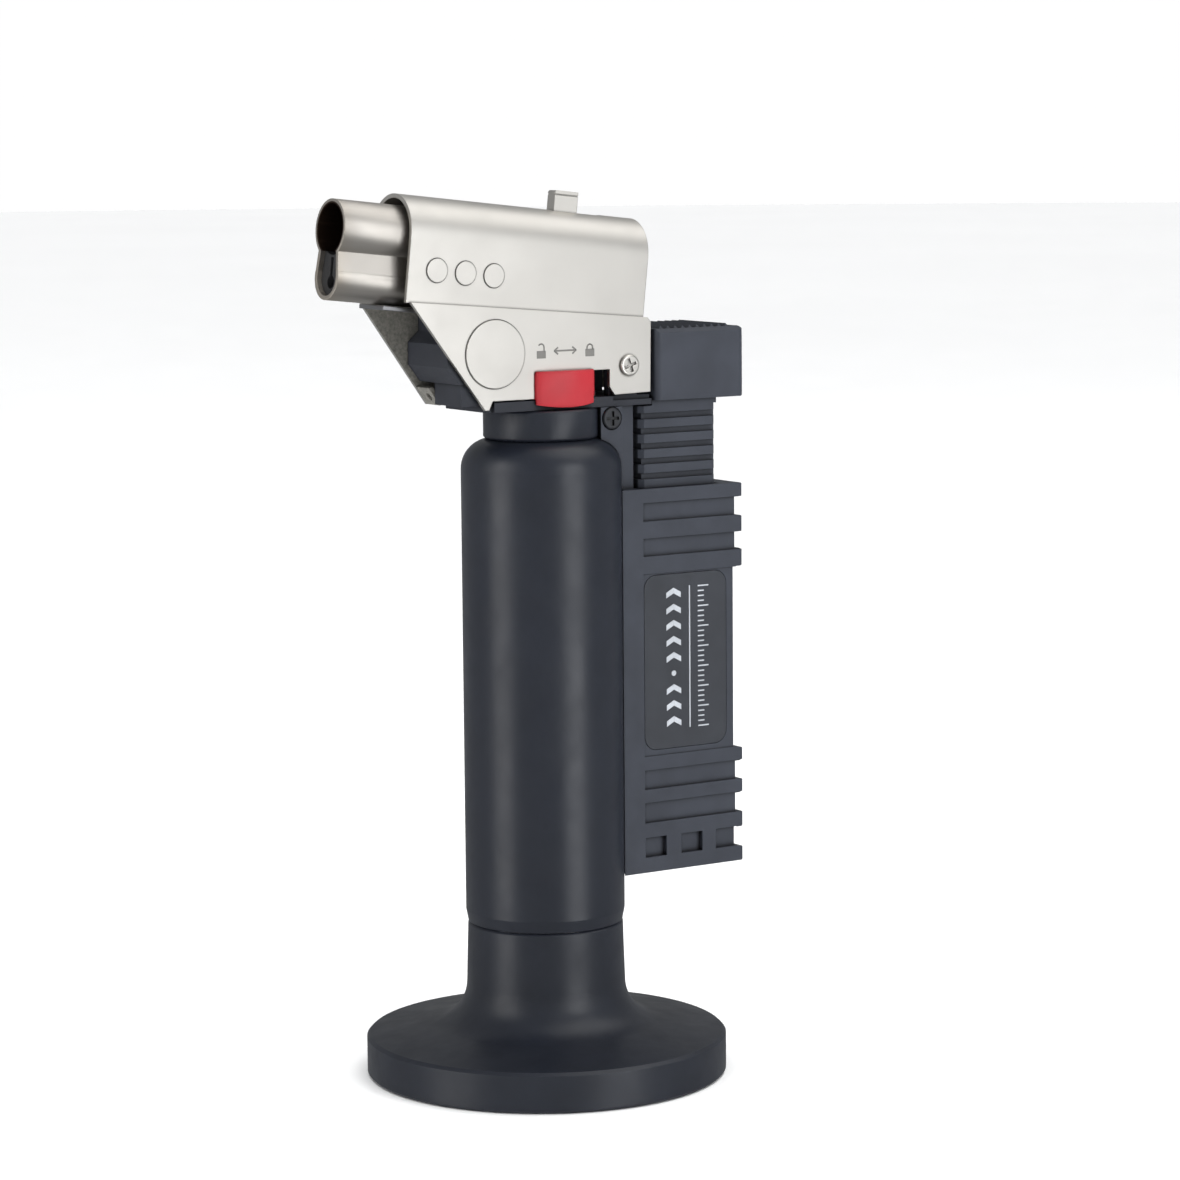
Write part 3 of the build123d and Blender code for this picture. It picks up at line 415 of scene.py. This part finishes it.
def moulded(
    name, colour, roughness, grain, depth, edge=2.2, mottle=0.12, specular=0.4,
    round_edge=0.18, groove_shade_reach=0.0, direction=(1, 1, 1),
):
    """Moulded plastic or paint: a fine grain, faint mottling, uneven gloss, paler edges that are partly wear
    and partly painted highlight, and optionally painted shade in grooves.
    """
    grain_size = grain * MM
    grain_depth = depth * MICRON
    made = Recipe(name)
    rounded = made.rounded_normal(round_edge * MM)
    patches = made.spread(made.noise(size=0.009, detail=4.0), 0.0, 1.0)
    body = made.blend(patches, scaled(colour, 1 - mottle), scaled(colour, 1 + mottle))
    # Paler edges, partly wear and partly painted highlight: sharp edges are lightened in patches.
    rub_and_highlight_patches = made.spread(made.noise(size=0.0022), 0.35, 1.0)
    wear_and_edge_highlight = made.multiply(made.edge_share(rounded, 0.5), rub_and_highlight_patches)
    finished = made.blend(wear_and_edge_highlight, body, scaled(colour, edge))
    # Painted shade: deep in grooves and inner corners the colour darkens to 8 percent of itself.
    if groove_shade_reach:
        finished = made.blend(made.openness(groove_shade_reach * MM), scaled(colour, 0.08), finished)
    made.feed("Base Color", finished)
    gloss = made.noise(size=0.006, detail=5.0, roughness=0.6)
    made.feed("Roughness", made.spread(gloss, roughness - 0.05, roughness + 0.06))
    fine = made.bump(made.noise(grain_size, detail=2.0, roughness=0.6), grain_depth, rounded)
    flow = made.noise(grain_size * 9, vector=made.stretched(direction))
    made.feed("Normal", made.bump(flow, grain_depth * 0.8, fine))
    made.set(Specular_IOR_Level=specular)
    return made.material


def metal(name, colour, roughness, grain=0.14, depth=1.2, direction=(1, 1, 1), groove_shade_reach=0.0, dull_inside=False):
    """Plated or bare metal: a satin grain, optionally drawn out one way, with faint handling marks, a painted
    highlight on sharp edges and optionally painted shade in grooves.
    """
    made = Recipe(name)
    rounded = made.rounded_normal(0.22 * MM)
    patches = made.spread(made.noise(size=0.012, detail=5.0), 0.0, 1.0)
    body = made.blend(patches, scaled(colour, 0.95), colour)
    # Painted highlight: sharp edges are painted 8 percent lighter.
    finished = made.blend(made.edge_share(rounded, 0.8), body, scaled(colour, 1.08))
    made.set(Metallic=1.0)
    # Painted shade: deep in grooves and inner corners the colour darkens to a quarter of itself.
    if groove_shade_reach:
        finished = made.blend(made.openness(groove_shade_reach * MM), scaled(colour, 0.25), finished)
    if dull_inside:
        outer = made.outer_face()
        blotches = made.spread(made.noise(size=0.0007, detail=4.0, roughness=0.7), 0.0, 1.0)
        finished = made.blend(outer, made.blend(blotches, *INNER_OXIDE), finished)
        made.feed("Metallic", outer)
    made.feed("Base Color", finished)
    smudges = made.noise(size=0.007, detail=6.0, roughness=0.65)
    made.feed("Roughness", made.spread(smudges, roughness - 0.035, roughness + 0.05))
    grain_field = made.noise(grain * MM, detail=2.0, roughness=0.6, vector=made.stretched(direction))
    satin = made.bump(grain_field, depth * MICRON, rounded)
    scratch_lines = made.stretched((0.06, 1.0, 1.7))
    scratch_field = made.noise(size=0.0009, detail=1.0, roughness=0.4, vector=scratch_lines)
    scratches = made.spread(scratch_field, 1.0, 0.0, 0.70, 0.76)
    made.feed("Normal", made.bump(scratches, 2 * MICRON, satin))
    return made.material


def nozzle_metal():
    """Nickel that heat has tinted straw and brown at the mouth."""
    made = Recipe("nozzle_nickel")
    rounded = made.rounded_normal(0.16 * MM)
    mouth, cool = HEAT_TINT_X
    heat = made.spread(made.axis("X"), 0.6, 0.0, mouth * MM, cool * MM)
    uneven = made.multiply(heat, made.spread(made.noise(size=0.004, detail=4.0), 0.2, 0.8))
    patches = made.spread(made.noise(size=0.012, detail=5.0), 0.0, 1.0)
    body = made.blend(patches, scaled(NOZZLE_NICKEL, 0.96), NOZZLE_NICKEL)
    outside = made.blend(uneven, body, NOZZLE_STRAW)
    bore, wall = NOZZLE_BORE
    inside = made.spread(made.off_barrel_axis(), 1.0, 0.0, bore * MM, wall * MM)
    made.feed("Base Color", made.blend(inside, outside, NOZZLE_SOOT))
    smudges = made.noise(size=0.006, detail=6.0, roughness=0.65)
    made.feed("Roughness", made.spread(smudges, 0.42, 0.50))
    drawn = made.noise(0.14 * MM, detail=2.0, roughness=0.6, vector=made.stretched((0.08, 1, 1)))
    made.feed("Normal", made.bump(drawn, 1.2 * MICRON, rounded))
    made.set(Metallic=1.0)
    return made.material


def soot_metal():
    """Steel that works in the flame: brown and grey oxide in blotches."""
    made = Recipe("burner_steel")
    blotches = made.spread(made.noise(size=0.0018, detail=6.0, roughness=0.65), 0.0, 1.0)
    made.feed("Base Color", made.blend(blotches, *OXIDE_BROWNS))
    made.feed("Roughness", made.spread(made.noise(size=0.001, detail=4.0), 0.42, 0.62))
    made.feed("Normal", made.bump(made.noise(size=0.0003), 10 * MICRON))
    made.set(Metallic=0.85)
    return made.material


def felt_fibre():
    """Pressed felt, whose fibres run mostly upright."""
    made = Recipe("felt")
    fibres = made.noise(0.18 * MM, detail=6.0, roughness=0.7, vector=made.stretched((1, 1, 0.2)))
    made.feed("Base Color", made.blend(made.spread(fibres, 0.0, 1.0), *FELT_TONES))
    made.feed("Roughness", made.spread(fibres, 0.82, 0.98))
    made.feed("Normal", made.bump(fibres, 0.12 * MM))
    return made.material


def floor_finish():
    made = Recipe("floor")
    tone = made.spread(made.noise(size=0.6, detail=2.0), 0.0, 1.0)
    made.feed("Base Color", made.blend(tone, *FLOOR_TONES))
    made.feed("Roughness", made.spread(made.noise(size=0.05, detail=2.0), 0.55, 0.65))
    return made.material


def make_materials():
    made = {name: moulded(name, **values) for name, values in MOULDED.items()}
    for name, values in METALS.items():
        made[name] = metal(name, **values)
    made["nozzle_nickel"] = nozzle_metal()
    made["burner_steel"] = soot_metal()
    made["felt"] = felt_fibre()
    return made


def dress_cad_nodes():
    """Gives every CAD node its own finish, or else the detailed version of its material slot."""
    for name, node in nodes.items():
        for spot in node.material_slots:
            spot.material = materials[OWN_FINISH.get(name, spot.material.name.split(".")[0])]


def soften(node, width):
    """Rounds a CAD node's sharp edges with modifiers: its own mesh stays as it is."""
    weld = node.modifiers.new("weld", "WELD")
    weld.merge_threshold = 2 * MICRON
    flats = node.modifiers.new("flats", "DECIMATE")
    flats.decimate_type = "DISSOLVE"
    flats.angle_limit = radians(0.6)
    bevel = node.modifiers.new("soft_edges", "BEVEL")
    bevel.width = width * MM
    bevel.segments = 2
    bevel.limit_method = "ANGLE"
    bevel.angle_limit = radians(38)
    bevel.use_clamp_overlap = True
    bevel.harden_normals = True
    bevel.miter_outer = "MITER_ARC"


# ---- mesh pieces ----
def finished_mesh(name, build):
    mesh = bpy.data.meshes.new(name)
    build.to_mesh(mesh)
    build.free()
    return mesh


def new_piece(name, mesh, material, body):
    piece = bpy.data.objects.new(name, mesh)
    bpy.context.scene.collection.objects.link(piece)
    mesh.materials.append(materials[material])
    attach(piece, body)
    return piece


def tube_mesh(name, points, radius, sides=12):
    """A round tube through points, with flat closed ends."""
    build = bmesh.new()
    rings = []
    side = None
    for i, point in enumerate(points):
        ahead = points[min(i + 1, len(points) - 1)] - points[max(i - 1, 0)]
        ahead.normalize()
        if side is None:
            side = ahead.orthogonal().normalized()
        side = (side - ahead * side.dot(ahead)).normalized()
        other = ahead.cross(side)
        ring_points = []
        for k in range(sides):
            angle = tau * k / sides
            reach = (side * cos(angle) + other * sin(angle)) * radius
            ring_points.append(build.verts.new(point + reach))
        rings.append(ring_points)
    for low_ring, high_ring in zip(rings, rings[1:]):
        for k in range(sides):
            n = (k + 1) % sides
            face = build.faces.new((low_ring[k], low_ring[n], high_ring[n], high_ring[k]))
            face.smooth = True
    build.faces.new(reversed(rings[0]))
    build.faces.new(rings[-1])
    bmesh.ops.recalc_face_normals(build, faces=build.faces)
    return finished_mesh(name, build)


def coil_points(x, y, bottom, top, radius, wire, turns):
    """The line of a compression spring whose end turns are closed and lie flat."""
    steps = 28
    closed = 1.1
    gap = (top - bottom - wire * (2 * closed + 1)) / (turns - 2 * closed)
    points = []
    z = bottom + wire / 2
    for i in range(int(turns * steps) + 1):
        angle = tau * i / steps
        turn = i / steps
        points.append(Vector((x + radius * cos(angle), y + radius * sin(angle), z)))
        open_share = min(1.0, max(0.0, turn - closed + 0.5), max(0.0, turns - closed + 0.5 - turn))
        z += (wire + (gap - wire) * open_share) / steps
    shrink = (top - bottom - wire) / (points[-1].z - points[0].z)
    for point in points:
        point.z = bottom + wire / 2 + (point.z - bottom - wire / 2) * shrink
    return points


def spring(name, node, turns, wire_mm, joint, fixed_top, travel_mm):
    """A wound spring that stands for a CAD node."""
    wire = wire_mm * MM
    bottom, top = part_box(node)
    middle = (bottom + top) / 2
    radius = (top.x - bottom.x) / 2 - wire / 2
    points = coil_points(middle.x, middle.y, bottom.z, top.z, radius, wire, turns)
    piece = new_piece(name, tube_mesh(name, points, wire / 2), "steel", "torch")
    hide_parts(node)
    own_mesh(piece)


def cap_ridges():
    """Pointed ridges for the thumb, one on each land between the grooves of the trigger's top."""
    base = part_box("trigger_cap")[1].z / MM - RIDGE_SUNK
    peak = base + RIDGE_HEIGHT
    peak_half = RIDGE_HALF_LENGTH - RIDGE_END_SLOPE
    build = bmesh.new()
    for i in range(RIDGE_COUNT):
        x = RIDGE_FIRST_X + RIDGE_PITCH * i
        ends = []
        for side in (-1, 1):
            front = (x, side * RIDGE_HALF_LENGTH, base)
            back = (x + RIDGE_WIDTH, side * RIDGE_HALF_LENGTH, base)
            tip = (x + RIDGE_WIDTH / 2, side * peak_half, peak)
            ends.append([build.verts.new(Vector(corner) * MM) for corner in (front, back, tip)])
        near, far = ends
        build.faces.new(near)
        build.faces.new(reversed(far))
        for k in range(3):
            n = (k + 1) % 3
            build.faces.new((near[k], far[k], far[n], near[n]))
    bmesh.ops.recalc_face_normals(build, faces=build.faces)
    mesh = finished_mesh("cap_ridges", build)
    new_piece("cap_ridges", mesh, "grip_plastic", "trigger")


# ---- marks: flat shapes on a side face, given in millimetres as (x, z) ----
def marks_mesh(name, shapes, y_face, raise_by=0.03, side=-1):
    """Thin flat shapes that stand a hair proud of a face on the near (-1) or far (1) side."""
    sunk = 0.02
    build = bmesh.new()
    top = side * (y_face + raise_by) * MM
    under = side * (y_face - sunk) * MM
    for outline in shapes:
        upper = [build.verts.new((x * MM, top, z * MM)) for x, z in outline]
        lower = [build.verts.new((x * MM, under, z * MM)) for x, z in outline]
        count = len(outline)
        build.faces.new(upper)
        build.faces.new(list(reversed(lower)))
        for k in range(count):
            n = (k + 1) % count
            build.faces.new((upper[k], lower[k], lower[n], upper[n]))
    bmesh.ops.recalc_face_normals(build, faces=build.faces)
    return finished_mesh(name, build)


def bar(x0, z0, x1, z1, width):
    """A straight stroke between two points."""
    start, end = Vector((x0, z0)), Vector((x1, z1))
    along = (end - start).normalized()
    across = Vector((-along.y, along.x)) * width / 2
    return [tuple(p) for p in (start + across, end + across, end - across, start - across)]


def arc_strokes(x, z, radius, width, start, end, count=14):
    """A curved stroke as short pieces, so that each piece is convex."""
    inner, outer = radius - width / 2, radius + width / 2
    strokes = []
    for i in range(count):
        corners = []
        for share, r in ((0, inner), (0, outer), (1, outer), (1, inner)):
            angle = radians(start + (end - start) * (i + share) / count)
            corners.append((x + r * cos(angle), z + r * sin(angle)))
        strokes.append(corners)
    return strokes


def disc(x, z, radius, count=24):
    return [(x + radius * cos(tau * k / count), z + radius * sin(tau * k / count)) for k in range(count)]


def ring(x, z, radius, width=0.2):
    """A fine line round a disc of a given radius."""
    return arc_strokes(x, z, radius + width / 2, width, 0, 360, 72)


def padlock(x, z, open_shackle):
    """A padlock sign, about 2.6 mm tall."""
    body_half, body_height = 1.0, 1.4
    shackle_radius, stroke = 0.62, 0.28
    body_middle = z - 0.6
    lift = 0.45 if open_shackle else 0.0
    end = 150 if open_shackle else 180
    shapes = [bar(x - body_half, body_middle, x + body_half, body_middle, body_height)]
    shapes += arc_strokes(x, z + 0.35 + lift, shackle_radius, stroke, 0, end)
    right = x + shackle_radius
    shapes.append(bar(right, z, right, z + 0.4 + lift, stroke))
    if not open_shackle:
        left = x - shackle_radius
        shapes.append(bar(left, z, left, z + 0.4, stroke))
    return shapes


def cheek_marks():
    """An open padlock, a double arrow and a closed padlock, beside the red slider."""
    z = CHEEK_MARKS_Z
    stroke = 0.3
    barb_x, barb_z = 0.85, 0.65
    shapes = [bar(-1.7, z, 2.4, z, stroke)]
    for tip, back in ((-2.1, 1), (2.8, -1)):
        for up in (1, -1):
            shapes.append(bar(tip, z, tip + back * barb_x, z + up * barb_z, stroke))
    return shapes + padlock(-5.0, z, True) + padlock(5.9, z, False)


def casing_rings():
    """Painted shadow: fine dark lines round the three discs that are pressed out of the barrel's cover, where
    their steps would throw a shadow gap.
    """
    rings = []
    for s in DIMPLE_PLACES:
        x = -s * cos(BARREL_TILT) - DIMPLE_DROP * sin(BARREL_TILT)
        z = BARREL_Z + s * sin(BARREL_TILT) - DIMPLE_DROP * cos(BARREL_TILT)
        rings += ring(x, z, DIMPLE_RADIUS, 0.17)
    return rings


def chevrons():
    """A bold row of chevrons with a dot in the place of one."""
    column, first, pitch = 24.6, 66.6, 3.15
    count, dot_place = 9, 3
    reach, rise = 1.7, 1.7
    shapes = []
    for i in range(count):
        z = first + i * pitch
        if i == dot_place:
            shapes.append(disc(column, z + 0.7, 0.55))
            continue
        for side in (-1, 1):
            tip = z + rise
            end = column + side * reach
            shapes.append([(column, tip), (column, tip - 1.1), (end, z - 0.3), (end, z + 0.8)])
    return shapes


def graduated_scale():
    """A line with fine ticks beside it, where every fourth tick is long."""
    line_x, line_bottom, line_top = 28.35, 65.8, 93.7
    tick_x, first, pitch, count = 30.3, 65.9, 0.985, 29
    long_tick, short_tick = 2.5, 1.45
    shapes = [bar(line_x, line_bottom, line_x, line_top, 0.28)]
    for i in range(count):
        z = first + i * pitch
        length = long_tick if i % 4 == 0 else short_tick
        shapes.append(bar(tick_x, z, tick_x + length, z, 0.26))
    return shapes


def label_marks():
    """The label's generic pattern."""
    return chevrons() + graduated_scale()


def mirrored(shapes):
    """The same shapes turned about the label's middle, to read the same from the far side."""
    return [[(2 * LABEL_X - x, z) for x, z in outline] for outline in shapes]


def painted_disc_shadows():
    """Painted shadow: fine dark lines round the pressed discs on both sides of the head, where their steps
    would throw a shadow gap.
    """
    cheek_line = ring(*CHEEK_DISC, CHEEK_DISC_RADIUS)
    for side, end in ((-1, "left"), (1, "right")):
        for name, shapes, face in (
            ("cheek_disc_shadow", cheek_line, CHEEK_Y),
            ("casing_disc_shadows", casing_rings(), CASING_Y),
        ):
            lines = marks_mesh(f"{name}_{end}", shapes, face, 0.012, side)
            new_piece(f"{name}_{end}", lines, "painted_shadow_line", "torch")


def printed_marks():
    cheek = marks_mesh("cheek_marks", cheek_marks(), CHEEK_Y, 0.02)
    new_piece("cheek_marks", cheek, "mark_grey", "torch")
    near = marks_mesh("label_marks_left", label_marks(), LABEL_FACE_Y)
    new_piece("label_marks_left", near, "mark_light", "torch")
    far = marks_mesh("label_marks_right", mirrored(label_marks()), LABEL_FACE_Y, side=1)
    new_piece("label_marks_right", far, "mark_light", "torch")


# ---- build ----
bpy.context.scene.view_settings.view_transform = "Standard"
make_camera()
make_world()
for name, values in SOFTBOXES.items():
    softbox(name, *values)
make_floor()
make_backdrop()

materials = make_materials()
dress_cad_nodes()
for name, width in SOFT_EDGES.items():
    soften(nodes[name], width)

for name, values in SPRINGS.items():
    spring(name, *values)
cap_ridges()
painted_disc_shadows()
printed_marks()
